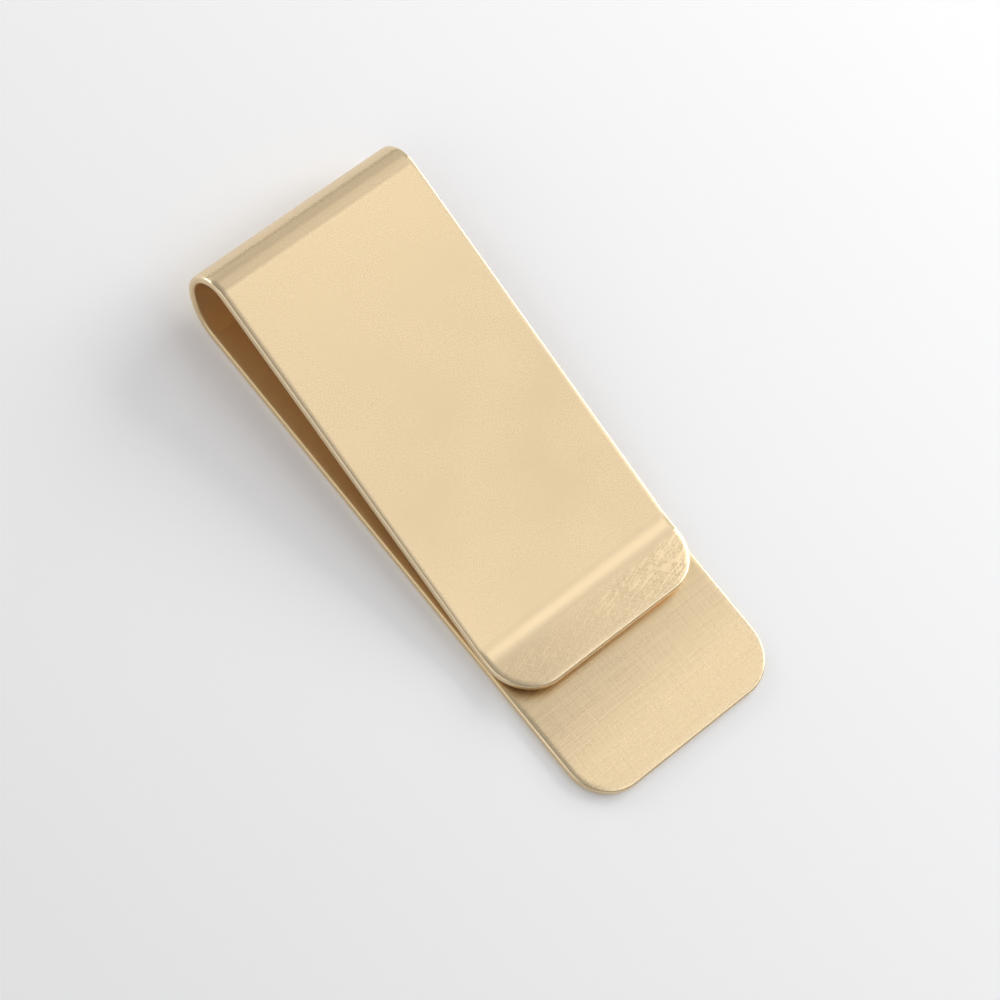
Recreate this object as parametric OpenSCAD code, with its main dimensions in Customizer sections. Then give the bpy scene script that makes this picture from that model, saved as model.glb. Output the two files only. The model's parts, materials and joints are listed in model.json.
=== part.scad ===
// Spring money clip: one brass strip folded back on itself in a teardrop bend.
//
// The long back leaf lies flat on the XY plane and the short front leaf slopes down to it.
// The front leaf presses on the back leaf along a ridge and ends in a turned-up finger lip.
// The strip is one piece that bends all along its length. It is drawn here as the zones
// that turn against each other, and each turning line lies on the strip's outer face,
// so that opening the clip only widens the seams.
//
// X runs from the bend to the tips, Y across the strip and Z up. The origin is under the
// middle of the closed clip, on the face that it lies on. Units are millimetres.

/* [Strip] */
// Width of the strip, across the clip
strip_w = 24; // [20:0.5:30]
// Thickness of the strip
strip_t = 0.8; // [0.6:0.05:1]
// Length of the closed clip, from the back of the bend to the back leaf's tip
clip_l = 60; // [56:1:70]
// Radius of the rounded tip corners, seen from above
corner_r = 4.5; // [2:0.25:4.5]

/* [Return bend] */
// Outer radius of the heel, the slack lower part of the bend
heel_r = 5.1; // [4.5:0.1:6]
// Angle that the heel turns through
heel_sweep = 60; // [50:1:70]
// Outer radius of the crown, the tight upper part of the bend
crown_r = 3.1; // [2.6:0.1:3.6]

/* [Front leaf] */
// Angle at which the front leaf comes down towards the back leaf
leaf_slope = 8; // [7:0.5:9]
// Radius of the ridge's upper face, along the line where the front leaf presses
ridge_r = 6; // [4:0.5:8]
// Room left under the ridge in the closed clip
ridge_gap = 0.08; // [0.03:0.01:0.1]
// Angle at which the finger lip rises from the back leaf
lip_rise = 9; // [6:1:14]
// Length of the finger lip, beyond the ridge
lip_l = 4.5; // [4.5:0.1:7]

/* [Flexure] */
// Width of the seam between zones that turn against each other
seam = 0.04; // [0.03:0.01:0.08]

/* [Hidden] */
$fn = 96;

brass = "#dcc08a";
brass_light = "#e9d3a2";
brass_deep = "#c8a56c";
lap = 1;  // how far a joined shape runs past the end that it is trimmed to

// The heel's centre stands over the line where the back leaf meets the bend.
function polar(radius, angle) = radius * [cos(angle), sin(angle)];
crown_offset = polar(heel_r - crown_r, 270 - heel_sweep);
heel_x = crown_r - crown_offset.x - clip_l / 2;
heel_centre = [heel_x, heel_r];
crown_centre = heel_centre + crown_offset;
back_l = clip_l / 2 - heel_x;

// The bend turns from straight down (270 degrees) up and over to the front leaf.
crown_start = 270 - heel_sweep;
crown_end = 90 - leaf_slope;

// The front leaf's upper face starts where the crown ends, and runs down to the ridge.
leaf_start = crown_centre + polar(crown_r, crown_end);
ridge_base = strip_t + ridge_gap;
ridge_out = ridge_r + strip_t;
ridge_drop = leaf_start.y - strip_t * cos(leaf_slope) - ridge_base - ridge_out * (1 - cos(leaf_slope));
leaf_l = ridge_drop / sin(leaf_slope);
leaf_end = leaf_start + leaf_l * [cos(leaf_slope), -sin(leaf_slope)];
ridge_centre = [leaf_end.x + ridge_r * sin(leaf_slope), ridge_base + ridge_out];
lip_start = ridge_centre + polar(ridge_r, 270 + lip_rise);

// The front leaf flexes at thirds of its length.
leaf_third = leaf_l / 3;

// Part of a round bend about Y, from angle a0 to angle a1 in the XZ plane, 0 along +X.
module bend_arc(centre, outer_r, a0, a1)
    translate([centre.x, 0, centre.y])
        rotate([90, 0, 0])
            rotate_extrude(angle = a1 - a0, start = a0)
                translate([outer_r - strip_t, -strip_w / 2])
                    square([strip_t, strip_w]);

// A flat length of strip, its upper face on Z = 0, from x0 to x1.
module flat(x0, x1)
    translate([x0, -strip_w / 2, -strip_t])
        cube([x1 - x0, strip_w, strip_t]);

// A flat tab of the strip with its far corners rounded, its upper face on Z = 0.
module rounded_tab(length)
    intersection() {
        flat(0, length);
        union() {
            flat(-lap, length - corner_r);
            translate([-lap, corner_r - strip_w / 2, -strip_t])
                cube([length + lap, strip_w - 2 * corner_r, strip_t]);
            for (side = [-1, 1])
                translate([length - corner_r, side * (strip_w / 2 - corner_r), -strip_t])
                    cylinder(r = corner_r, h = strip_t);
        }
    }

// Puts its children on the front leaf's upper face, with X along the leaf.
module on_front_leaf()
    translate([leaf_start.x, 0, leaf_start.y])
        rotate([0, leaf_slope, 0])
            children();

// Long flat leaf that lies in the hand or the pocket.
module back_leaf()
    color(brass)
        translate([heel_x, 0, strip_t])
            rounded_tab(back_l);

// Lower part of the return bend, which carries on from the back leaf.
module bend_heel()
    color(brass_deep)
        bend_arc(heel_centre, heel_r, crown_start, 270);

// Upper part of the return bend, which turns over into the front leaf.
module bend_crown()
    color(brass_light)
        bend_arc(crown_centre, crown_r, crown_end, crown_start - asin(seam / crown_r));

// First third of the front leaf, next to the bend.
module leaf_shoulder()
    color(brass)
        on_front_leaf()
            flat(seam, leaf_third);

// Middle third of the front leaf.
module leaf_span()
    color(brass_light)
        on_front_leaf()
            flat(leaf_third + seam, 2 * leaf_third);

// Last third of the front leaf, down to the ridge.
module leaf_nose()
    color(brass)
        on_front_leaf()
            flat(2 * leaf_third + seam, leaf_l);

// Rounded crease that presses the notes against the back leaf.
module pressure_ridge()
    color(brass_light)
        bend_arc(ridge_centre, ridge_out, 270 - leaf_slope, 270 + lip_rise);

// Turned-up end that guides the notes in and that a finger lifts.
module finger_lip()
    color(brass_deep)
        translate([lip_start.x, 0, lip_start.y])
            rotate([0, -lip_rise, 0])
                rounded_tab(lip_l);

back_leaf();
bend_heel();
bend_crown();
leaf_shoulder();
leaf_span();
leaf_nose();
pressure_ridge();
finger_lip();
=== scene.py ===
"""Spring money clip of pale satin brass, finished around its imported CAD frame.

The clip is made the way the real one is: a flat blank with rounded corners and tumbled edges
is folded three times, at the heel, the crown and the pressure ridge. The blank is cut into
closed sections, one for each stretch of the strip that moves with, or flexes between, the
CAD bodies, and each section carries the marks that its working and its use leave.

Lengths are in metres, in the frame of the CAD model. Angles are in radians, except that a
lamp's direction is given in degrees.
"""

import sys

import json
import logging
import math
from dataclasses import dataclass, field
from enum import Enum
from typing import Any, Sequence, Union

import bmesh
import bpy
import numpy as np
from mathutils import Matrix, Vector


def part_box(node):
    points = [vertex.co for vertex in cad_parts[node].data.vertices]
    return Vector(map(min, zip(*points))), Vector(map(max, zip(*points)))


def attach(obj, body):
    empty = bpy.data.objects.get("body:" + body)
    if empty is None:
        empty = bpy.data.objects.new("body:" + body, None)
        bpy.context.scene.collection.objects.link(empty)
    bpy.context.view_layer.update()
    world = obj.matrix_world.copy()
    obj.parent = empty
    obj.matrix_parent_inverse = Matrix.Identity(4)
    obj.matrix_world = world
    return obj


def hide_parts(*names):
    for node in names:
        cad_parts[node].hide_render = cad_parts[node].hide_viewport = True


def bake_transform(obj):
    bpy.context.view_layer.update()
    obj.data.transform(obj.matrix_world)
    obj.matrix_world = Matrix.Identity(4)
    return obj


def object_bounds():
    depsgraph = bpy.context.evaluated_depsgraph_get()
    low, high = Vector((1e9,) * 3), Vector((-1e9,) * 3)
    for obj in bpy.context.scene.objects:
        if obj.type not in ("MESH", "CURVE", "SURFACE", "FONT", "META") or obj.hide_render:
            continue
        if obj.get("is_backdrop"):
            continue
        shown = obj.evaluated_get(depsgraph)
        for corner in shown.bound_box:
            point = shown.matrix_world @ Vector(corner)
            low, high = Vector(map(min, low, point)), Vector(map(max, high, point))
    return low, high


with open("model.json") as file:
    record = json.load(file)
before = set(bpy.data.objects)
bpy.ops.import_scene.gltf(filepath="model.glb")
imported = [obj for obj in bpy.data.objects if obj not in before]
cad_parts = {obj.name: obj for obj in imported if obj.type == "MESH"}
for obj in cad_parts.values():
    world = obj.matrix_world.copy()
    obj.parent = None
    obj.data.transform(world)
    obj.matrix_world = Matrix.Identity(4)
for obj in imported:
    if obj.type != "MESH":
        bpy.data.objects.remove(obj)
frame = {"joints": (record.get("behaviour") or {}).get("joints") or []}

MM = 0.001
MICRON = 1e-6
PLACE = "strip_place"
BLANK_NORMAL = "blank_normal"
# Wear of the edges, joined by the ridge's polishing, which the finishes also show as a painted
# highlight on the crease
WEAR_AND_SHEEN = "edge_wear_and_ridge_sheen"
MARKS = "tool_marks"
# How far a point lies inside the fold, where the finishes paint a deeper shade into its colour
SHELTER_AND_SHADE = "shelter"
QUAD = 4  # corners of every face but the two that close a section
MIX_FACTOR, MIX_A, MIX_B, MIX_RESULT = 0, 6, 7, 2  # sockets of a Mix node that mixes colours
Colour = tuple[float, float, float]

log = logging.getLogger("money_clip")


# --- Node building -----------------------------------------------------------------------


class Wire:
    """An output socket that takes part in arithmetic by adding Math nodes to its tree."""

    def __init__(self, bench: "NodeBench", socket: bpy.types.NodeSocket) -> None:
        """Wraps a socket.

        Args:
            bench: builder of the tree that the socket belongs to.
            socket: output socket that carries the value.
        """
        self.bench = bench
        self.socket = socket

    def __add__(self, other: "Operand") -> "Wire":
        """Sum with a value or another wire."""
        return self.bench.math("ADD", self, other)

    def __radd__(self, other: "Operand") -> "Wire":
        """Sum with this wire on the right."""
        return self.bench.math("ADD", other, self)

    def __sub__(self, other: "Operand") -> "Wire":
        """Difference from a value or another wire."""
        return self.bench.math("SUBTRACT", self, other)

    def __rsub__(self, other: "Operand") -> "Wire":
        """Difference with this wire on the right."""
        return self.bench.math("SUBTRACT", other, self)

    def __mul__(self, other: "Operand") -> "Wire":
        """Product with a value or another wire."""
        return self.bench.math("MULTIPLY", self, other)

    def __truediv__(self, other: "Operand") -> "Wire":
        """Quotient by a value or another wire."""
        return self.bench.math("DIVIDE", self, other)

    def __pow__(self, other: "Operand") -> "Wire":
        """Power with a value or another wire."""
        return self.bench.math("POWER", self, other)

    def clamped(self, low: "Operand" = 0.0, high: "Operand" = 1.0) -> "Wire":
        """The value kept between low and high."""
        return self.bench.math("MINIMUM", self.bench.math("MAXIMUM", self, low), high)


Operand = Union[Wire, float]
Place = tuple[Wire, Wire, Wire]  # place in the flat strip: along it, across it and above its middle


class NodeBench:
    """Adds nodes and links to one shader, world or geometry tree."""

    def __init__(self, tree: bpy.types.NodeTree) -> None:
        """Starts on an existing tree.

        Args:
            tree: node tree to add to.
        """
        self.tree = tree

    def node(
        self,
        kind: str,
        settings: dict[str, Any] | None = None,
        inputs: dict[Any, Any] | None = None,
    ) -> bpy.types.Node:
        """Adds a node, sets it up and fills its sockets.

        Args:
            kind: Blender's type name of the node.
            settings: the node's own settings, set before its sockets are touched.
            inputs: value or wire of each input socket, by name or index.

        Returns:
            The new node.
        """
        made = self.tree.nodes.new(kind)
        for name, value in (settings or {}).items():
            setattr(made, name, value)
        for key, value in (inputs or {}).items():
            self.plug(made.inputs[key], value)
        return made

    def plug(self, socket: bpy.types.NodeSocket, value: Any) -> None:
        """Links a wire to a socket, or sets the socket's own value.

        Args:
            socket: input socket.
            value: wire, or a constant of the socket's kind.
        """
        if isinstance(value, Wire):
            self.tree.links.new(value.socket, socket)
        else:
            socket.default_value = value

    def wire(
        self,
        kind: str,
        settings: dict[str, Any] | None = None,
        inputs: dict[Any, Any] | None = None,
        output: str | int = 0,
    ) -> Wire:
        """Adds a node, as node() does, and returns one of its outputs."""
        return Wire(self, self.node(kind, settings, inputs).outputs[output])

    def math(self, operation: str, *operands: Operand) -> Wire:
        """Adds a Math node.

        Args:
            operation: Blender's name of the operation.
            *operands: values or wires, in the operation's order.

        Returns:
            The result.
        """
        return self.wire("ShaderNodeMath", {"operation": operation}, dict(enumerate(operands)))

    def vector(self, x: Operand, y: Operand, z: Operand) -> Wire:
        """A vector of three values or wires."""
        return self.wire("ShaderNodeCombineXYZ", None, {0: x, 1: y, 2: z})

    def parts(self, vector: Wire) -> tuple[Wire, Wire, Wire]:
        """The three components of a vector."""
        split = self.node("ShaderNodeSeparateXYZ", None, {0: vector})
        x, y, z = (Wire(self, output) for output in split.outputs)
        return x, y, z

    def noise(self, coordinates: Wire, layers: float, layering: float) -> Wire:
        """Noise whose features are about one unit of the coordinates in size.

        Args:
            coordinates: where the noise is read.
            layers: number of finer layers.
            layering: strength of each layer against the one before.

        Returns:
            A value from 0 to 1.
        """
        inputs = {"Vector": coordinates, "Scale": 1.0, "Detail": layers, "Roughness": layering}
        return self.wire("ShaderNodeTexNoise", None, inputs)

    def blended(self, share: Operand, first: Any, second: Any) -> Wire:
        """Mixes two colours.

        Args:
            share: how much of the second colour shows, from 0 to 1.
            first: colour or wire at share 0.
            second: colour or wire at share 1.

        Returns:
            The mixed colour.
        """
        ends = [(*c, 1.0) if isinstance(c, tuple) else c for c in (first, second)]
        inputs = {MIX_FACTOR: share, MIX_A: ends[0], MIX_B: ends[1]}
        return self.wire("ShaderNodeMix", {"data_type": "RGBA"}, inputs, MIX_RESULT)


# --- Brass finishes ----------------------------------------------------------------------

ALONG, ACROSS = 0.0, math.radians(90)


class Slot(Enum):
    """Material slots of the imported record."""

    SATIN = "satin_brass"
    BRUSHED = "brushed_brass"
    SCUFFED = "scuffed_brass"


@dataclass(frozen=True)
class Streaks:
    """Fine lines of one direction, such as an abrasive belt leaves.

    Attributes:
        heading: direction of the lines in the strip's plane, 0 along it and 90 degrees across.
        pitch: distance between lines.
        reach: length of a line.
        depth: height between the lines' crests and troughs.
        sparse: power that thins the lines out to single scratches, 1 for none.
    """

    heading: float
    pitch: float
    reach: float
    depth: float
    sparse: float = 1.0

    LAYERS, LAYERING = 3.0, 0.6  # finer layers of the lines, and the strength of each
    CREST_GAIN = 1.5  # brings the crests of that noise up to 1, for the power to keep

    def field(self, bench: NodeBench, place: Place) -> Wire:
        """The lines as a value from 0 to 1.

        Args:
            bench: builder of the material's tree.
            place: position in the flat strip.

        Returns:
            The value, about 0.5 on average where the lines aren't sparse.
        """
        along, across, depth = place
        c, s = math.cos(self.heading), math.sin(self.heading)
        run = (along * c + across * s) / self.reach
        step = (across * c - along * s) / self.pitch
        coordinates = bench.vector(run, step, depth / self.pitch)
        noise = bench.noise(coordinates, self.LAYERS, self.LAYERING)
        return noise if self.sparse == 1.0 else (noise * self.CREST_GAIN).clamped() ** self.sparse


@dataclass(frozen=True)
class Lean:
    """Slight set that the sheet keeps from its rolling, which shows only in how it shines.

    Attributes:
        heading: direction in the strip's plane in which it leans, 0 along and 90 degrees across.
        tilt: steepest angle, positive where the surface rises that way.
        start: distance in that direction at which it begins to lean.
        end: distance at which it leans the most.
    """

    heading: float
    tilt: float
    start: float
    end: float

    def height(self, place: Place) -> Wire:
        """Height whose slope grows evenly from nothing at the start to the tilt at the end.

        Args:
            place: position in the flat strip.

        Returns:
            The height.
        """
        along, across, _ = place
        reach = self.end - self.start
        measured = along * math.cos(self.heading) + across * math.sin(self.heading)
        distance = measured - self.start
        share = (distance / reach).clamped()
        past = (distance - reach).clamped()
        return (share * share * (reach / 2) + past) * math.tan(self.tilt)


@dataclass(frozen=True)
class BrassFinish:
    """Pale brass and the marks on it.

    Attributes:
        slot: the record's slot that it belongs to.
        colour: metal colour of the flats.
        worn_and_sheen_colour: metal colour where handling has polished the edges, also laid along
            the ridge as a painted highlight on the crease.
        fold_shade_colour: deeper colour of the faces inside the fold, painted shade.
        roughness: roughness of the flats.
        worn_roughness: roughness of the polished edges.
        grain: sets of fine lines that run all over the strip.
        marks: sets of lines of its own, which fade out towards the other finishes.
        marked_roughness: roughness where its own marks are at full strength.
        sheltered_roughness: roughness inside the fold, where nothing rubs it smooth.
        mottle_depth: height of the fine even mottle.
        mottle_pitch: size of the mottle.
        sway_depth: height of the slow waves of the sheet.
        sway_pitch: length of the waves.
        line_gloss: change of roughness for a line one micron deep.
        line_shade: change of tone for a line one micron deep.
        lean: set of the sheet, if it shows.
    """

    slot: Slot
    colour: Colour = (0.79, 0.62, 0.39)
    worn_and_sheen_colour: Colour = (0.84, 0.68, 0.45)
    fold_shade_colour: Colour = (0.80, 0.60, 0.33)
    roughness: float = 0.27
    worn_roughness: float = 0.22
    grain: tuple[Streaks, ...] = (
        Streaks(ACROSS, 0.14 * MM, 6 * MM, 0.35 * MICRON),
        Streaks(ALONG, 0.20 * MM, 7 * MM, 0.20 * MICRON),
    )
    marks: tuple[Streaks, ...] = ()
    marked_roughness: float = 0.27
    sheltered_roughness: float = 0.50
    mottle_depth: float = 0.06 * MICRON
    mottle_pitch: float = 0.12 * MM
    sway_depth: float = 3 * MICRON
    sway_pitch: float = 8 * MM
    line_gloss: float = 0.03
    line_shade: float = 0.25
    lean: Lean | None = None

    TONE_RANGE = 0.06  # how far the tone goes below and above the metal colour
    SWAY_TONE = 0.5  # share of that range that the slow waves take up
    # The worn colour also lightens the ridge, where it is a painted highlight on the crease
    WORN_AND_SHEEN_TONE = 0.7  # share of the worn colour where the wear is full
    WORN_LINES = 0.6  # share of the lines' height that full wear takes off
    MOTTLE_GLOSS, SWAY_GLOSS = 0.04, 0.05  # swing of the roughness over the mottle and the waves
    ROUGHNESS_LIMITS = (0.12, 0.8)
    WAVE_LAYERING = 0.55  # strength of each finer layer of the mottle and the waves

    def material(self) -> bpy.types.Material:
        """Builds the material.

        Returns:
            The material, named after its slot.
        """
        made = bpy.data.materials.new(self.slot.value)
        made.use_nodes = True
        made.node_tree.nodes.clear()
        bench = NodeBench(made.node_tree)
        position, wear, marked, sheltered_and_shaded = (
            bench.wire("ShaderNodeAttribute", {"attribute_name": name}, None, output)
            for name, output in ((PLACE, "Vector"), (WEAR_AND_SHEEN, "Fac"), (MARKS, "Fac"), (SHELTER_AND_SHADE, "Fac"))
        )
        place = bench.parts(position)

        sway = self._waves(bench, place, self.sway_pitch, 1.0)
        mottle = self._waves(bench, place, self.mottle_pitch, 2.0)
        lines = self._lines(bench, place, self.grain)
        if self.marks:
            lines = lines + self._lines(bench, place, self.marks) * marked
        lines = lines * (1 - wear * self.WORN_LINES)

        height = sway * self.sway_depth + mottle * self.mottle_depth + lines * MICRON
        if self.lean is not None:
            height = height + self.lean.height(place)
        shade = (0.5 + lines * self.line_shade + (sway - 0.5) * self.SWAY_TONE).clamped()
        dark = tuple((1 - self.TONE_RANGE) * c for c in self.colour)
        light = tuple((1 + self.TONE_RANGE) * c for c in self.colour)
        base = bench.blended(shade, dark, light)
        # Lighter on the worn edges, and along the ridge, where the lighter colour is a painted
        # highlight on the crease
        base = bench.blended(wear * self.WORN_AND_SHEEN_TONE, base, self.worn_and_sheen_colour)
        # Deeper colour inside the fold: painted shade
        base = bench.blended(sheltered_and_shaded, base, self.fold_shade_colour)

        rough = self.roughness + marked * (self.marked_roughness - self.roughness)
        rough = rough + sheltered_and_shaded * (self.sheltered_roughness - self.roughness)
        rough = rough + lines * self.line_gloss
        rough = rough + (mottle - 0.5) * self.MOTTLE_GLOSS + (sway - 0.5) * self.SWAY_GLOSS
        rough = rough + wear * (self.worn_roughness - self.roughness)
        bump = {"Strength": 1.0, "Distance": 1.0, "Height": height}
        shader = {
            "Base Color": base,
            "Metallic": 1.0,
            "Roughness": rough.clamped(*self.ROUGHNESS_LIMITS),
            "Normal": bench.wire("ShaderNodeBump", None, bump),
        }
        surface = bench.wire("ShaderNodeBsdfPrincipled", None, shader)
        bench.node("ShaderNodeOutputMaterial", None, {"Surface": surface})
        return made

    @staticmethod
    def _lines(bench: NodeBench, place: Place, sets: Sequence[Streaks]) -> Wire:
        """Several sets of lines together.

        Args:
            bench: builder of the material's tree.
            place: position in the flat strip.
            sets: at least one set.

        Returns:
            Height of the lines in microns, 0 on average where they aren't sparse.
        """
        first, *rest = ((s.field(bench, place) - 0.5) * (s.depth / MICRON) for s in sets)
        return sum(rest, first)

    @classmethod
    def _waves(cls, bench: NodeBench, place: Place, pitch: float, layers: float) -> Wire:
        """Waves of one pitch that run in no direction.

        Args:
            bench: builder of the material's tree.
            place: position in the flat strip.
            pitch: length of a wave.
            layers: number of finer layers.

        Returns:
            A value from 0 to 1.
        """
        coordinates = bench.vector(*(axis / pitch for axis in place))
        return bench.noise(coordinates, layers, cls.WAVE_LAYERING)


SATIN = BrassFinish(Slot.SATIN)
BRUSHED = BrassFinish(
    Slot.BRUSHED,
    marks=(
        Streaks(ACROSS, 0.24 * MM, 9 * MM, 17 * MICRON),
        Streaks(ALONG, 0.26 * MM, 5 * MM, 9 * MICRON),
    ),
    marked_roughness=0.29,
    line_gloss=0.014,
    line_shade=0.12,
    lean=Lean(math.radians(4), math.radians(-8), 4 * MM, 11 * MM),
)
SCUFFED = BrassFinish(
    Slot.SCUFFED,
    marks=(
        Streaks(math.radians(32), 0.24 * MM, 3.2 * MM, 6.5 * MICRON),
        Streaks(math.radians(-40), 0.24 * MM, 2.8 * MM, 6.5 * MICRON),
        Streaks(math.radians(76), 0.18 * MM, 2.4 * MM, 6.0 * MICRON, sparse=4),
    ),
    marked_roughness=0.30,
    line_gloss=0.02,
    line_shade=0.18,
    lean=Lean(math.radians(-90), math.radians(-6), -8 * MM, 10 * MM),
)


# --- The strip ---------------------------------------------------------------------------


@dataclass(frozen=True)
class Bend:
    """One fold of the strip, measured on its centreline.

    Attributes:
        start: distance along the strip, from the back leaf's tip, at which the fold begins.
        radius: radius of the centreline.
        turn: angle turned, positive where the strip curls over its upper face.
    """

    start: float
    radius: float
    turn: float

    @property
    def length(self) -> float:
        """Length of strip that the fold takes."""
        return self.radius * abs(self.turn)

    @property
    def end(self) -> float:
        """Distance along the strip at which the fold ends."""
        return self.start + self.length

    @property
    def middle(self) -> float:
        """Distance along the strip to the fold's middle."""
        return self.start + self.length / 2


@dataclass(frozen=True)
class StripPlan:
    """Sizes of the strip, most of them read off the CAD frame.

    Attributes:
        width: width across the clip.
        thickness: thickness of the sheet.
        tip_x: place of the back leaf's tip along X.
        heel: slack lower fold of the return bend.
        crown: tight upper fold of the return bend.
        ridge: crease along which the front leaf presses, softer than the CAD's.
        leaf_third: a third of the front leaf's straight length.
        lip_length: straight length of the finger lip.
        corner_radius: radius of the rounded corners.
    """

    width: float
    thickness: float
    tip_x: float
    heel: Bend
    crown: Bend
    ridge: Bend
    leaf_third: float
    lip_length: float
    corner_radius: float = 4.5 * MM

    @classmethod
    def from_frame(
        cls,
        joints: Sequence[dict],
        ridge_radius: float = 9.9 * MM,
        lip_rise: float = math.radians(9),
    ) -> "StripPlan":
        """Works the sizes out from the CAD boxes and joint pivots.

        Every pivot lies on the strip's outer face. The heel is the arc that leaves the back
        leaf flat and passes the first pivot, and the crown the arc from there to the second.
        The ridge is placed so that it comes as low as the CAD's, and the lip so that it ends
        where the CAD's does.

        Args:
            joints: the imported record's joints.
            ridge_radius: radius of the ridge's centreline.
            lip_rise: angle at which the finger lip rises.

        Returns:
            The plan.
        """
        low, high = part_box("back_leaf")
        thickness = high.z - low.z
        pivot = {joint["name"]: Vector(joint["pos_m"]) for joint in joints}
        opening, crown_end = pivot["clip_opening"], pivot["crown_flex"]
        upper_third = pivot["leaf_upper_flex"] - crown_end

        reach, rise = low.x - opening.x, opening.z - low.z
        heel_turn = 2 * math.atan2(rise, reach)
        heel_radius = (reach**2 + rise**2) / (2 * rise) - thickness / 2
        slope = math.atan2(-upper_third.z, upper_third.x)
        crown_turn = math.pi + slope - heel_turn
        chord = (crown_end - opening).length
        crown_radius = chord / (2 * math.sin(crown_turn / 2)) - thickness / 2

        heel = Bend(high.x - low.x, heel_radius, heel_turn)
        crown = Bend(heel.end, crown_radius, crown_turn)
        third = upper_third.length
        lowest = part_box("pressure_ridge")[0].z + thickness / 2
        top = crown_end.z - thickness / 2 * math.cos(slope)
        leaf = (top - lowest - ridge_radius * (1 - math.cos(slope))) / math.sin(slope)
        ridge = Bend(crown.end + leaf, ridge_radius, -(slope + lip_rise))
        middle_x = crown_end.x - thickness / 2 * math.sin(slope) + leaf * math.cos(slope)
        lip_x = middle_x + ridge_radius * (math.sin(slope) + math.sin(lip_rise))
        end_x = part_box("finger_lip")[1].x - thickness / 2 * math.sin(lip_rise)
        lip = (end_x - lip_x) / math.cos(lip_rise)
        return cls(high.y - low.y, thickness, high.x, heel, crown, ridge, third, lip)

    @property
    def length(self) -> float:
        """Length of the flat blank."""
        return self.ridge.end + self.lip_length

    @property
    def lip_start(self) -> float:
        """Distance along the strip to where its last corners begin."""
        return self.length - self.corner_radius

    def third(self, number: float) -> float:
        """Distance along the strip to a place on the front leaf, counted in thirds of it."""
        return self.crown.end + number * self.leaf_third

    def turned(self, distance: np.ndarray) -> np.ndarray:
        """Angle that the strip has turned through at each distance along it."""
        total = np.zeros_like(distance)
        for bend in (self.heel, self.crown, self.ridge):
            total += np.clip((distance - bend.start) / bend.length, 0, 1) * bend.turn
        return total


@dataclass
class EdgeProfile:
    """Cross-section of the blank's tumbled edge, from the upper face round to the lower.

    Attributes:
        thickness: thickness of the sheet.
        roll: width over which the face rolls off towards the edge.
        drop: how far it drops over that width.
        radius: radius of the edge itself.
        roll_steps: segments over the roll.
        round_steps: segments round the edge.
    """

    thickness: float
    roll: float = 0.70 * MM
    drop: float = 0.035 * MM
    radius: float = 0.24 * MM
    roll_steps: int = 6
    round_steps: int = 8

    FITTING_STEPS = 8

    def points(self) -> list[tuple[float, float, float, float]]:
        """Samples the section.

        Returns:
            Inset from the outline, height, tilt of the face from level and wear for each point.
        """
        half = self.thickness / 2
        lean = math.atan(2 * self.drop / self.roll)
        for _ in range(self.FITTING_STEPS):
            # The roll ends where the round begins, which depends on how far the roll leans.
            start = self.radius * (1 - math.sin(lean))
            lean = math.atan(2 * self.drop / (self.roll - start))
        upper = []
        for step in range(self.roll_steps):
            share = step / self.roll_steps
            inset = self.roll - share * (self.roll - start)
            tilt = math.atan(share * math.tan(lean))
            upper.append((inset, half - self.drop * share**2, tilt, share))
        centre = half - self.drop - self.radius * math.cos(lean)
        for step in range(self.round_steps + 1):
            tilt = lean + (math.pi / 2 - lean) * step / self.round_steps
            height = centre + self.radius * math.cos(tilt)
            upper.append((self.radius * (1 - math.sin(tilt)), height, tilt, 1.0))
        return upper + [
            (inset, -height, math.pi - tilt, wear) for inset, height, tilt, wear in reversed(upper)
        ]


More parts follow.
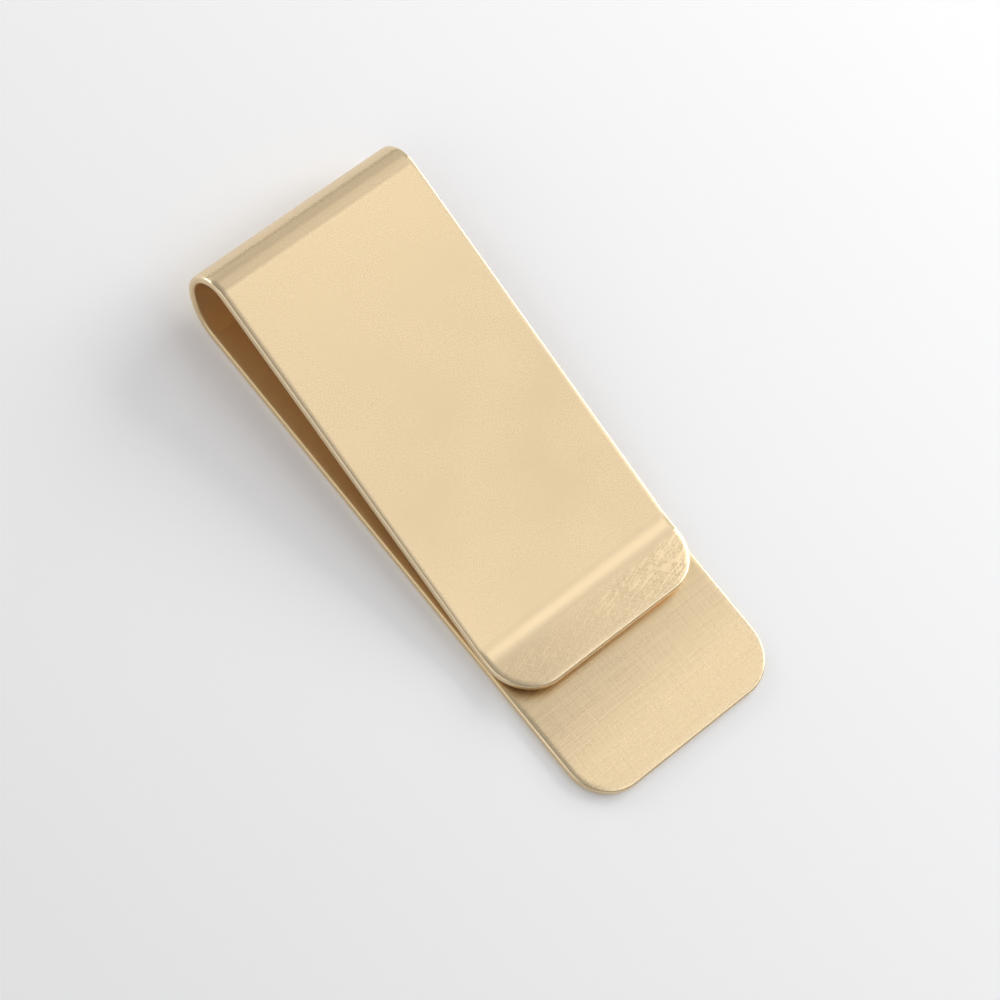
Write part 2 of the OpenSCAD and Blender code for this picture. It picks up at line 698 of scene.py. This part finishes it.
@dataclass
class Blank:
    """The flat strip before folding, as arrays.

    Attributes:
        place: distance along, across and above the middle plane, for each point.
        normal: outward direction of the surface at each point.
        wear: how much handling has polished each point, from 0 to 1, which along the ridge also
            sets a painted highlight on the crease.
        marks: how strong the finishes' own marks are at each point, from 0 to 1.
        shelter: how far each point is out of reach inside the fold, from 0 to 1, which sets its
            roughness and its painted shade.
        faces: corners of each face.
    """

    place: np.ndarray
    normal: np.ndarray
    wear: np.ndarray
    marks: np.ndarray
    shelter: np.ndarray
    faces: list[tuple[int, ...]]

    ROUNDING = 1e-6  # keeps a length of a whole number of steps from getting one step more

    @classmethod
    def cut(
        cls, plan: StripPlan, stops: Sequence[float], columns: int = 16, corner_steps: int = 20
    ) -> "Blank":
        """Cuts the blank.

        Args:
            plan: the strip's sizes.
            stops: distances along the strip at which there has to be a row of points.
            columns: divisions of the faces across the strip.
            corner_steps: divisions of each rounded corner.

        Returns:
            The blank, a closed solid.
        """
        side = cls._side(plan, stops, corner_steps)
        inner = plan.width / 2 - plan.corner_radius
        steps = [inner * (2 * i / columns - 1) for i in range(1, columns)]
        outline = [(s, y, a) for s, y, a in side]
        outline += [(plan.length, -y, 0.0) for y in steps]
        outline += [(s, -y, -a) for s, y, a in reversed(side)]
        outline += [(0.0, y, math.pi) for y in steps]
        section = EdgeProfile(plan.thickness).points()

        place, normal, wear = [], [], []
        for s, y, heading in outline:
            out = (math.cos(heading), math.sin(heading))
            for inset, height, tilt, worn in section:
                place.append((s - inset * out[0], y - inset * out[1], height))
                normal.append((math.sin(tilt) * out[0], math.sin(tilt) * out[1], math.cos(tilt)))
                wear.append(worn)
        deep, around = len(section), len(outline)
        faces = []
        for i in range(around):
            near, far = i * deep, (i + 1) % around * deep
            faces += [(near + p, near + p + 1, far + p + 1, far + p) for p in range(deep - 1)]
        rows, last = len(side), around - 1
        for p, up in ((0, 1.0), (deep - 1, -1.0)):
            grid = []
            for row in range(rows):
                left, right = row * deep + p, (last - (columns - 1) - row) * deep + p
                if row == 0:
                    middle = [(last - i) * deep + p for i in range(columns - 1)]
                elif row == rows - 1:
                    middle = [(rows + i) * deep + p for i in range(columns - 1)]
                else:
                    middle = []
                    for i in range(1, columns):
                        share = i / columns
                        middle.append(len(place))
                        at = [a + (b - a) * share for a, b in zip(place[left], place[right])]
                        place.append(tuple(at))
                        normal.append((0.0, 0.0, up))
                        wear.append(0.0)
                grid.append([left, *middle, right])
            for this, following in zip(grid, grid[1:]):
                corners = zip(this, this[1:], following[1:], following)
                faces += list(corners)
        points = np.array(place)
        # The ridge's polishing, which also paints a highlight on the crease, joins the wear of the
        # edges
        ridge_polish_and_sheen, marks = cls._handling(plan, points[:, 0])
        shelter = cls._shelter(plan, points)
        return cls(points, np.array(normal), np.maximum(wear, ridge_polish_and_sheen), marks, shelter, faces)

    @staticmethod
    def _shelter(
        plan: StripPlan, points: np.ndarray, exposed: float = 11 * MM, fade: float = 4 * MM
    ) -> np.ndarray:
        """Finds the points inside the fold.

        Args:
            plan: the strip's sizes.
            points: places in the flat strip.
            exposed: length of the back leaf that the front leaf leaves bare.
            fade: distance over which the shelter begins and ends.

        Returns:
            How far inside the fold each point is, from 0 to 1, which also sets its painted shade.
        """
        along, height = points[:, 0], points[:, 2]
        after_tip = np.clip((along - exposed) / fade, 0, 1)
        before_ridge = np.clip((plan.ridge.start - along) / fade, 0, 1)
        return after_tip * before_ridge * np.clip(height / (plan.thickness / 2), 0, 1)

    @staticmethod
    def _handling(
        plan: StripPlan,
        along: np.ndarray,
        ridge_polish_and_sheen: float = 0.5,
        spread: float = 1.1 * MM,
        back_fade: tuple[float, float] = (10 * MM, 1 * MM),
        lip_fade: tuple[float, float] = (0.1 * MM, 0.9 * MM),
    ) -> tuple[np.ndarray, np.ndarray]:
        """Polish along the ridge, which the finishes also show as a painted highlight on the
        crease, and the places where the leaf and the lip keep their marks.

        Args:
            plan: the strip's sizes.
            along: distance of each point along the strip.
            ridge_polish_and_sheen: how polished the middle of the ridge is, which also sets the
                strength of its painted highlight.
            spread: distance over which the polish falls off.
            back_fade: distances before the heel at which the back leaf's marks begin to fade
                and are gone.
            lip_fade: distances past the lip's start at which its marks begin and are complete.

        Returns:
            How polished the ridge is, which also sets its painted highlight, and the strength of
            the marks at each point, from 0 to 1.
        """
        # Polishing of the ridge, painted into its colour as a highlight on the crease
        ridge_sheen = ridge_polish_and_sheen * np.exp(-(((along - plan.ridge.middle) / spread) ** 2))
        back = (plan.heel.start - back_fade[1] - along) / (back_fade[0] - back_fade[1])
        lip = (along - plan.lip_start - lip_fade[0]) / (lip_fade[1] - lip_fade[0])
        return ridge_sheen, np.clip(back, 0, 1) + np.clip(lip, 0, 1)

    @classmethod
    def _side(
        cls,
        plan: StripPlan,
        stops: Sequence[float],
        corner_steps: int,
        spacing: float = 1.2 * MM,
        bend_step: float = math.radians(2),
    ) -> list[tuple[float, float, float]]:
        """One long side of the outline with its two corners.

        Args:
            plan: the strip's sizes.
            stops: distances at which there has to be a point.
            corner_steps: divisions of each corner.
            spacing: longest distance between points on a flat.
            bend_step: largest turn between points on a bend.

        Returns:
            Distance along, place across and heading outwards of each point.
        """
        radius, edge = plan.corner_radius, plan.width / 2
        angles = [math.pi - math.pi / 2 * i / corner_steps for i in range(corner_steps + 1)]
        start = []
        for a in angles:
            start.append((radius + radius * math.cos(a), edge - radius + radius * math.sin(a), a))
        end = [(plan.length - s, y, math.pi - a) for s, y, a in reversed(start)]
        bends = (plan.heel, plan.crown, plan.ridge)
        ends = [b.start for b in bends] + [b.end for b in bends]
        wanted = {radius, *stops, *ends, plan.lip_start}
        knots = sorted(k for k in wanted if radius <= k <= plan.lip_start)
        middle = []
        for low, high in zip(knots, knots[1:]):
            bend = next((b for b in bends if b.start < (low + high) / 2 < b.end), None)
            longest = spacing if bend is None else bend.radius * bend_step
            count = max(1, math.ceil((high - low) / longest - cls.ROUNDING))
            middle += [low + (high - low) * i / count for i in range(count)]
        return start + [(s, edge, math.pi / 2) for s in middle[1:]] + end


class FoldTree:
    """Geometry Nodes tree that folds a flat section of the strip."""

    INPUTS = (
        ("Heel Start", "heel", "start"),
        ("Heel Length", "heel", "length"),
        ("Heel Angle", "heel", "turn"),
        ("Crown Start", "crown", "start"),
        ("Crown Length", "crown", "length"),
        ("Crown Angle", "crown", "turn"),
        ("Ridge Start", "ridge", "start"),
        ("Ridge Length", "ridge", "length"),
        ("Ridge Angle", "ridge", "turn"),
    )

    def __init__(self, plan: StripPlan) -> None:
        """Builds the tree for a plan.

        Args:
            plan: the strip's sizes.
        """
        self.plan = plan
        self.bend_group = self._bend_group()
        self.tree = self._tree()

    @staticmethod
    def _new_tree(name: str, values: Sequence[str]) -> bpy.types.NodeTree:
        """An empty tree that takes geometry and named values, and gives geometry."""
        tree = bpy.data.node_groups.new(name, "GeometryNodeTree")
        tree.interface.new_socket("Geometry", in_out="INPUT", socket_type="NodeSocketGeometry")
        for value in values:
            tree.interface.new_socket(value, in_out="INPUT", socket_type="NodeSocketFloat")
        tree.interface.new_socket("Geometry", in_out="OUTPUT", socket_type="NodeSocketGeometry")
        return tree

    def _bend_group(self) -> bpy.types.NodeTree:
        """One fold: what is past its start turns about Y, the fold itself little by little.

        Returns:
            The node group.
        """
        tree = self._new_tree("fold", ("Start", "Length", "Angle"))
        bench = NodeBench(tree)
        given = bench.node("NodeGroupInput")
        start, length, angle = (Wire(bench, given.outputs[n]) for n in ("Start", "Length", "Angle"))
        named = {"data_type": "FLOAT_VECTOR"}
        place = bench.wire("GeometryNodeInputNamedAttribute", named, {"Name": PLACE})
        along, _, _ = bench.parts(place)
        x, y, z = bench.parts(bench.wire("GeometryNodeInputPosition"))

        share = ((along - start) / length).clamped()
        turn = share * angle
        radius = length / angle
        sine, cosine = bench.math("SINE", turn), bench.math("COSINE", turn)
        past = x - (start + share * length)
        folded = bench.vector(
            start + radius * sine + past * cosine - z * sine,
            y,
            radius * (1 - cosine) + past * sine + z * cosine,
        )
        moved = {"Geometry": Wire(bench, given.outputs["Geometry"]), "Position": folded}
        done = bench.wire("GeometryNodeSetPosition", None, moved)
        bench.node("NodeGroupOutput", None, {"Geometry": done})
        return tree

    def _tree(self) -> bpy.types.NodeTree:
        """The whole fold, from the ridge back to the heel, and the turn into place.

        Returns:
            The node tree.
        """
        names = [name for name, _, _ in self.INPUTS] + ["Tip X", "Middle Height"]
        tree = self._new_tree("fold_strip", names)
        tree.interface.new_socket("Finish", in_out="INPUT", socket_type="NodeSocketMaterial")
        bench = NodeBench(tree)
        given = bench.node("NodeGroupInput")
        shape = Wire(bench, given.outputs["Geometry"])
        for bend in ("Ridge", "Crown", "Heel"):
            values = {"Geometry": shape}
            for part in ("Start", "Length", "Angle"):
                values[part] = Wire(bench, given.outputs[f"{bend} {part}"])
            shape = bench.wire("GeometryNodeGroup", {"node_tree": self.bend_group}, values)
        tip, middle = (Wire(bench, given.outputs[n]) for n in ("Tip X", "Middle Height"))
        turned = {
            "Geometry": shape,
            "Translation": bench.vector(tip, 0.0, middle),
            "Rotation": (0.0, 0.0, math.pi),
        }
        shape = bench.wire("GeometryNodeTransform", None, turned)
        shape = bench.wire("GeometryNodeRealizeInstances", None, {"Geometry": shape})
        finished = {"Geometry": shape, "Material": Wire(bench, given.outputs["Finish"])}
        shape = bench.wire("GeometryNodeSetMaterial", None, finished)
        bench.node("NodeGroupOutput", None, {"Geometry": shape})
        return tree

    def fold(self, blank: bpy.types.Object, finish: bpy.types.Material) -> bpy.types.Mesh:
        """Folds a flat section.

        Args:
            blank: the flat section, which is used up.
            finish: material that the section gets.

        Returns:
            The folded section as a plain mesh.
        """
        modifier = blank.modifiers.new("fold", "NODES")
        modifier.node_group = self.tree
        values = {name: getattr(getattr(self.plan, bend), part) for name, bend, part in self.INPUTS}
        values |= {"Tip X": self.plan.tip_x, "Middle Height": self.plan.thickness / 2}
        values["Finish"] = finish
        for item in self.tree.interface.items_tree:
            if item.in_out == "INPUT" and item.name in values:
                modifier[item.identifier] = values[item.name]
        depsgraph = bpy.context.evaluated_depsgraph_get()
        mesh = bpy.data.meshes.new_from_object(blank.evaluated_get(depsgraph), depsgraph=depsgraph)
        blank.modifiers.remove(modifier)
        flat = blank.data
        bpy.data.objects.remove(blank)
        bpy.data.meshes.remove(flat)
        return mesh


@dataclass(frozen=True)
class Section:
    """A stretch of the strip that is one piece.

    Attributes:
        name: name of the piece.
        start: distance along the strip at which it begins.
        end: distance at which it ends.
        bodies: the CAD body that it rides on, or the two that it lies between.
        replaces: CAD nodes that it stands for.
        finish: its finish.
    """

    name: str
    start: float
    end: float
    bodies: tuple[str, ...]
    replaces: tuple[str, ...]
    finish: BrassFinish


@dataclass
class BrassStrip:
    """The one physical piece of the clip, made as closed sections.

    Attributes:
        plan: the strip's sizes.
        made: finished pieces.
    """

    plan: StripPlan
    made: list[bpy.types.Object] = field(default_factory=list)

    def sections(self) -> list[Section]:
        """The sections in order along the strip, each ending where the next begins.

        The ends lie where the strip doesn't flex, halfway between two joints.

        Returns:
            The sections.
        """
        plan = self.plan
        ends = [0.0, plan.heel.start, plan.crown.middle, plan.third(0.5), plan.third(1.5)]
        ends += [plan.third(2.5), plan.lip_start, plan.length]
        rows = [
            ("brass_back_leaf", ("back",), ("back_leaf",), BRUSHED),
            ("brass_heel_bend", ("back", "crown"), ("bend_heel",), SATIN),
            ("brass_crown_bend", ("crown", "shoulder"), ("bend_crown",), SATIN),
            ("brass_leaf_upper", ("shoulder", "span"), ("leaf_shoulder",), SATIN),
            ("brass_leaf_lower", ("span", "nose"), ("leaf_span",), SATIN),
            ("brass_pressure_nose", ("nose",), ("leaf_nose", "pressure_ridge"), SATIN),
            ("brass_finger_lip", ("nose",), ("finger_lip",), SCUFFED),
        ]
        return [
            Section(name, start, end, bodies, nodes, finish)
            for (name, bodies, nodes, finish), start, end in zip(rows, ends, ends[1:])
        ]

    def build(self) -> None:
        """Cuts, folds and finishes every section, and hangs each one that rides on a single body on
        it.
        """
        sections = self.sections()
        blank = Blank.cut(self.plan, [section.end for section in sections[:-1]])
        tree = FoldTree(self.plan)
        finishes = {finish.slot: finish.material() for finish in (SATIN, BRUSHED, SCUFFED)}
        for section in sections:
            flat = self._cut_section(blank, section)
            mesh = tree.fold(flat, finishes[section.finish.slot])
            mesh.name = section.name
            self._smooth(mesh)
            piece = bpy.data.objects.new(section.name, mesh)
            bpy.context.scene.collection.objects.link(piece)
            self._hang(piece, section)
            self.made.append(piece)
            bodies = " and ".join(section.bodies)
            log.info("%s: %d faces, on %s", piece.name, len(mesh.polygons), bodies)

    @staticmethod
    def _cut_section(blank: Blank, section: Section) -> bpy.types.Object:
        """Cuts one section out of the blank and closes its ends.

        Args:
            blank: the whole blank.
            section: the section to cut.

        Returns:
            The flat section, with the attributes that the fold and the finishes read.
        """
        faces = []
        for face in blank.faces:
            middle = blank.place[list(face), 0].mean()
            if section.start < middle < section.end:
                faces.append(face)
        used = sorted({corner for face in faces for corner in face})
        number = {old: new for new, old in enumerate(used)}
        mesh = bpy.data.meshes.new(section.name + "_flat")
        corners = [tuple(number[c] for c in face) for face in faces]
        mesh.from_pydata([tuple(p) for p in blank.place[used]], [], corners)
        for name, kind, slot, values in (
            (PLACE, "FLOAT_VECTOR", "vector", blank.place[used]),
            (BLANK_NORMAL, "FLOAT_VECTOR", "vector", blank.normal[used]),
            (WEAR_AND_SHEEN, "FLOAT", "value", blank.wear[used]),
            (MARKS, "FLOAT", "value", blank.marks[used]),
            (SHELTER_AND_SHADE, "FLOAT", "value", blank.shelter[used]),
        ):
            attribute = mesh.attributes.new(name, kind, "POINT")
            attribute.data.foreach_set(slot, values.astype(np.float32).ravel())
        shape = bmesh.new()
        shape.from_mesh(mesh)
        open_edges = [edge for edge in shape.edges if edge.is_boundary]
        bmesh.ops.holes_fill(shape, edges=open_edges, sides=0)
        bmesh.ops.recalc_face_normals(shape, faces=shape.faces)
        shape.to_mesh(mesh)
        shape.free()
        flat = bpy.data.objects.new(mesh.name, mesh)
        bpy.context.scene.collection.objects.link(flat)
        return flat

    def _smooth(self, mesh: bpy.types.Mesh) -> None:
        """Gives a section the true normals of the folded surface, so that its ends don't show.

        Args:
            mesh: the folded section.
        """
        count = len(mesh.vertices)
        place = np.empty(count * 3, np.float32)
        mesh.attributes[PLACE].data.foreach_get("vector", place)
        normal = np.empty(count * 3, np.float32)
        mesh.attributes[BLANK_NORMAL].data.foreach_get("vector", normal)
        turn = self.plan.turned(place.reshape(-1, 3)[:, 0].astype(float))
        nx, ny, nz = normal.reshape(-1, 3).T.astype(float)
        sine, cosine = np.sin(turn), np.cos(turn)
        folded = np.stack((-(nx * cosine - nz * sine), -ny, nx * sine + nz * cosine), axis=1)
        corner_normals = np.empty((len(mesh.loops), 3))
        for polygon in mesh.polygons:
            is_end = polygon.loop_total > QUAD
            polygon.use_smooth = not is_end
            for loop in polygon.loop_indices:
                vertex = mesh.loops[loop].vertex_index
                corner_normals[loop] = polygon.normal if is_end else folded[vertex]
        mesh.attributes.remove(mesh.attributes[BLANK_NORMAL])
        mesh.normals_split_custom_set([tuple(n) for n in corner_normals])

    @classmethod
    def _hang(cls, piece: bpy.types.Object, section: Section) -> None:
        """Puts a piece on its CAD body, or bakes it in place where it lies between two.

        Args:
            piece: the finished piece.
            section: what it is.
        """
        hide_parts(*section.replaces)
        if len(section.bodies) == 1:
            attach(piece, section.bodies[0])
            return
        start, end = cls._flexing_ends(piece)
        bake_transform(piece)

    @staticmethod
    def _flexing_ends(piece: bpy.types.Object) -> tuple[np.ndarray, np.ndarray]:
        """Finds the points between which a piece would flex.

        They lie just inside the piece, past the whole of its first and last row of points.

        Args:
            piece: the finished piece.

        Returns:
            The points at its start and at its end.
        """
        count = len(piece.data.vertices)
        place = np.empty(count * 3, np.float32)
        position = np.empty(count * 3, np.float32)
        piece.data.attributes[PLACE].data.foreach_get("vector", place)
        piece.data.vertices.foreach_get("co", position)
        along, position = place.reshape(-1, 3)[:, 0], position.reshape(-1, 3)
        first = position[along < along.min() + MICRON]
        last = position[along > along.max() - MICRON]
        start, end = first.mean(axis=0), last.mean(axis=0)
        heading = end - start
        heading /= np.linalg.norm(heading)
        ahead = ((first - start) @ heading).max()
        behind = ((last - end) @ heading).min()
        return start + heading * ahead, end + heading * behind


# --- Stage, lights and camera ------------------------------------------------------------


@dataclass(frozen=True)
class Softbox:
    """A soft rectangular lamp that faces the clip.

    Attributes:
        name: name of the lamp.
        azimuth: direction that it stands in, in degrees from +Y towards +X.
        elevation: its height above the horizon, in degrees.
        size: width and height.
        power: radiant power in watts.
        distance: distance from the clip.
    """

    name: str
    azimuth: float
    elevation: float
    size: tuple[float, float]
    power: float
    distance: float = 0.9

    def place(self, target: Vector) -> None:
        """Adds the lamp to the scene.

        Args:
            target: point that it faces.
        """
        data = bpy.data.lights.new(self.name, "AREA")
        data.shape = "RECTANGLE"
        data.size, data.size_y = self.size
        data.energy = self.power
        lamp = bpy.data.objects.new(self.name, data)
        bpy.context.scene.collection.objects.link(lamp)
        azimuth, elevation = math.radians(self.azimuth), math.radians(self.elevation)
        level, up = math.cos(elevation), math.sin(elevation)
        towards = Vector((math.sin(azimuth) * level, math.cos(azimuth) * level, up))
        lamp.location = target + towards * self.distance
        lamp.rotation_mode = "QUATERNION"
        lamp.rotation_quaternion = towards.to_track_quat("Z", "Y")


@dataclass
class Studio:
    """Pale floor, soft light and camera.

    Attributes:
        centre: middle of the clip.
        floor_colour: colour of the floor.
        floor_roughness: roughness of the floor.
        floor_painted_light: painted light, a brightness of its own that the floor is given around
            the clip.
        floor_painted_light_rise: how much that brightness rises for a metre towards +Y.
        floor_painted_light_limit: highest such brightness.
        floor_side: side of the square floor.
        floor_gap: how far the floor lies below the clip.
        sky_strength: brightness of the even light from all round.
        bounces: number of times that light is followed from metal to metal.
        softboxes: lamps.
    """

    centre: Vector
    floor_colour: Colour = (0.90, 0.90, 0.91)
    floor_roughness: float = 0.6
    floor_painted_light: float = 0.065
    floor_painted_light_rise: float = 1.09
    floor_painted_light_limit: float = 0.4
    floor_side: float = 6.0
    floor_gap: float = 0.02 * MM
    sky_strength: float = 0.37
    bounces: int = 12
    softboxes: tuple[Softbox, ...] = (
        Softbox("key_spot", 0, 62, (0.15, 0.15), 0.075),
        Softbox("key_softbox", -4, 62, (0.3, 0.3), 0.088),
        Softbox("right_panel", 45, 60, (0.35, 0.35), 0.38),
        Softbox("back_panel", -8, 42, (0.5, 0.5), 0.245),
        Softbox("back_horizon", 0, 22, (0.8, 0.4), 5.02),
        Softbox("left_panel", -30, 58, (0.25, 0.25), 0.047),
        Softbox("left_softbox", -42, 48, (0.3, 0.3), 0.134),
        Softbox("left_strip", -52, 36, (0.3, 0.3), 0.093),
        Softbox("left_low", -60, 18, (0.5, 0.3), 0.158),
        Softbox("left_horizon", -100, 15, (0.6, 0.4), 2.44),
        Softbox("front_softbox", 180, 35, (0.6, 0.6), 0.8),
        Softbox("front_horizon", -150, 12, (0.8, 0.3), 0.63),
        Softbox("far_panel", 28, 38, (0.4, 0.4), 0.59),
        Softbox("right_horizon", 100, 20, (0.6, 0.4), 0.21),
    )

    def build(self) -> None:
        """Builds the floor, the lights and the camera."""
        self._floor()
        self._sky()
        for softbox in self.softboxes:
            softbox.place(self.centre)
        self._camera()
        scene = bpy.context.scene
        scene.view_settings.view_transform = "Standard"
        scene.view_settings.look = "None"
        scene.cycles.max_bounces = scene.cycles.glossy_bounces = self.bounces

    def _floor(self) -> None:
        """Adds the floor, a hair below the clip, with painted light of its own."""
        material = bpy.data.materials.new("pale_floor")
        material.use_nodes = True
        material.node_tree.nodes.clear()
        bench = NodeBench(material.node_tree)
        place = bench.wire("ShaderNodeTexCoord", None, None, "Object")
        _, towards_back, _ = bench.parts(place)
        # Painted light: the floor shines of itself, brighter towards +Y
        painted_light = towards_back * self.floor_painted_light_rise + self.floor_painted_light
        painted_light = painted_light.clamped(0.0, self.floor_painted_light_limit)
        shader = {
            "Base Color": (*self.floor_colour, 1.0),
            "Roughness": self.floor_roughness,
            "Emission Color": bench.vector(painted_light, painted_light, painted_light),
            "Emission Strength": 1.0,
        }
        surface = bench.wire("ShaderNodeBsdfPrincipled", None, shader)
        bench.node("ShaderNodeOutputMaterial", None, {"Surface": surface})
        half = self.floor_side / 2
        square = ((-half, -half), (half, -half), (half, half), (-half, half))
        mesh = bpy.data.meshes.new("floor")
        mesh.from_pydata([(x, y, -self.floor_gap) for x, y in square], [], [(0, 1, 2, 3)])
        mesh.materials.append(material)
        floor = bpy.data.objects.new("floor", mesh)
        bpy.context.scene.collection.objects.link(floor)
        floor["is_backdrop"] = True

    def _sky(self) -> None:
        """Sets the even light from all round."""
        world = bpy.data.worlds.new("studio")
        world.use_nodes = True
        world.node_tree.nodes.clear()
        bench = NodeBench(world.node_tree)
        light = {"Color": (1.0, 1.0, 1.0, 1.0), "Strength": self.sky_strength}
        sky = bench.wire("ShaderNodeBackground", None, light)
        bench.node("ShaderNodeOutputWorld", None, {"Surface": sky})
        bpy.context.scene.world = world

    def _camera(
        self,
        azimuth: float = math.radians(10.676),
        elevation: float = math.radians(61.412),
        roll: float = math.radians(41.265),
        distance: float = 429.6 * MM,
        aim: tuple[float, float] = (2.48 * MM, -1.49 * MM),
        lens: float = 171.8,
        reach: tuple[float, float] = (0.01, 20.0),
    ) -> None:
        """Adds the camera.

        Args:
            azimuth: direction that it stands in, 0 looking along +Y.
            elevation: height above the horizon.
            roll: turn about its own axis.
            distance: distance from the point that it looks at.
            aim: place of that point along X and Y, counted from the middle of the clip.
            lens: focal length in millimetres, on the default sensor.
            reach: nearest and farthest distance that it sees.
        """
        level = math.cos(elevation)
        back = Vector((math.sin(azimuth) * level, -math.cos(azimuth) * level, math.sin(elevation)))
        right = Vector((math.cos(azimuth), math.sin(azimuth), 0.0))
        turn = Matrix.Rotation(roll, 3, back)
        right = turn @ right
        up = back.cross(right)
        looked_at = self.centre + Vector((*aim, 0.0))
        data = bpy.data.cameras.new("camera")
        data.lens = lens
        data.clip_start, data.clip_end = reach
        camera = bpy.data.objects.new("camera", data)
        bpy.context.scene.collection.objects.link(camera)
        axes = Matrix((right, up, back)).transposed()
        camera.matrix_world = Matrix.Translation(looked_at + back * distance) @ axes.to_4x4()
        bpy.context.scene.camera = camera


def main() -> None:
    """Builds the clip on its frame, then the studio."""
    logging.basicConfig(level=logging.INFO, format="%(name)s: %(message)s", stream=sys.stdout)
    cad_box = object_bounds()
    plan = StripPlan.from_frame(frame["joints"])
    log.info("strip of %.2f mm, %.2f mm wide", plan.length / MM, plan.width / MM)
    BrassStrip(plan).build()
    Studio((cad_box[0] + cad_box[1]) / 2).build()


if __name__ == "__main__":
    main()
